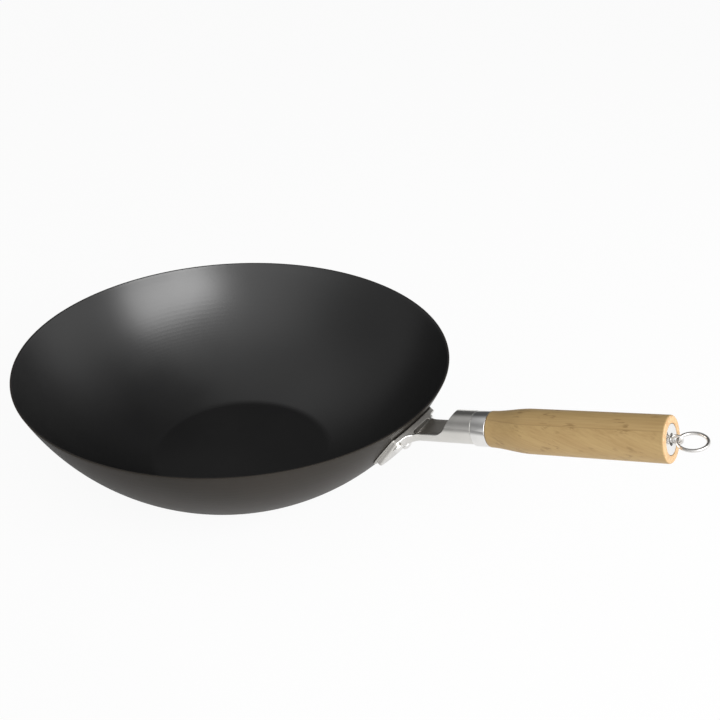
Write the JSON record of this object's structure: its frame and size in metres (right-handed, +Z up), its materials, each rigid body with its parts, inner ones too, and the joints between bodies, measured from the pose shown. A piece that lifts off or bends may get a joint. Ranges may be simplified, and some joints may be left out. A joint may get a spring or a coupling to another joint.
{
  "type": "wok",
  "caption": "Flat-bottomed wok of thin black sheet steel with a riveted bright steel bracket, a turned wooden grip and a swinging wire ring to hang it by.",
  "frame": {"origin": "middle of the flat base, on the surface that the wok stands on", "axes": "+Z up, +X from the middle of the bowl towards the handle, +Y to the left when looking along the handle from the bowl"},
  "size_m": [0.5587, 0.356, 0.1629],
  "materials": {
    "bowl_steel": "satin black coating on sheet steel",
    "bracket_steel": "bright pressed sheet",
    "bright_steel": "polished",
    "fastener_steel": "plain zinc-plated",
    "grip_wood": "oiled laminated bamboo"
  },
  "bodies": {
    "wok": {"bowl": "bowl_steel", "handle_bracket": "bracket_steel", "rivet_near": "bright_steel", "rivet_far": "bright_steel", "rivet_lower": "bright_steel", "ferrule": "bright_steel", "grip": "grip_wood", "anchor_disc": "fastener_steel", "lock_washer": "fastener_steel", "rod_nut": "fastener_steel", "thrust_washer": "fastener_steel", "end_cap": "bright_steel", "eye_bolt": "bright_steel"},
    "ring": {"hanging_ring": "bright_steel"}
  },
  "joints": [
    {"name": "ring_swing", "type": "hinge", "parent": "wok", "child": "ring", "pos_m": [0.36177, 0, 0.14954], "axis": [-0.0328, 0.9938, 0.1065], "range_deg": [-103, 91]}
  ]
}
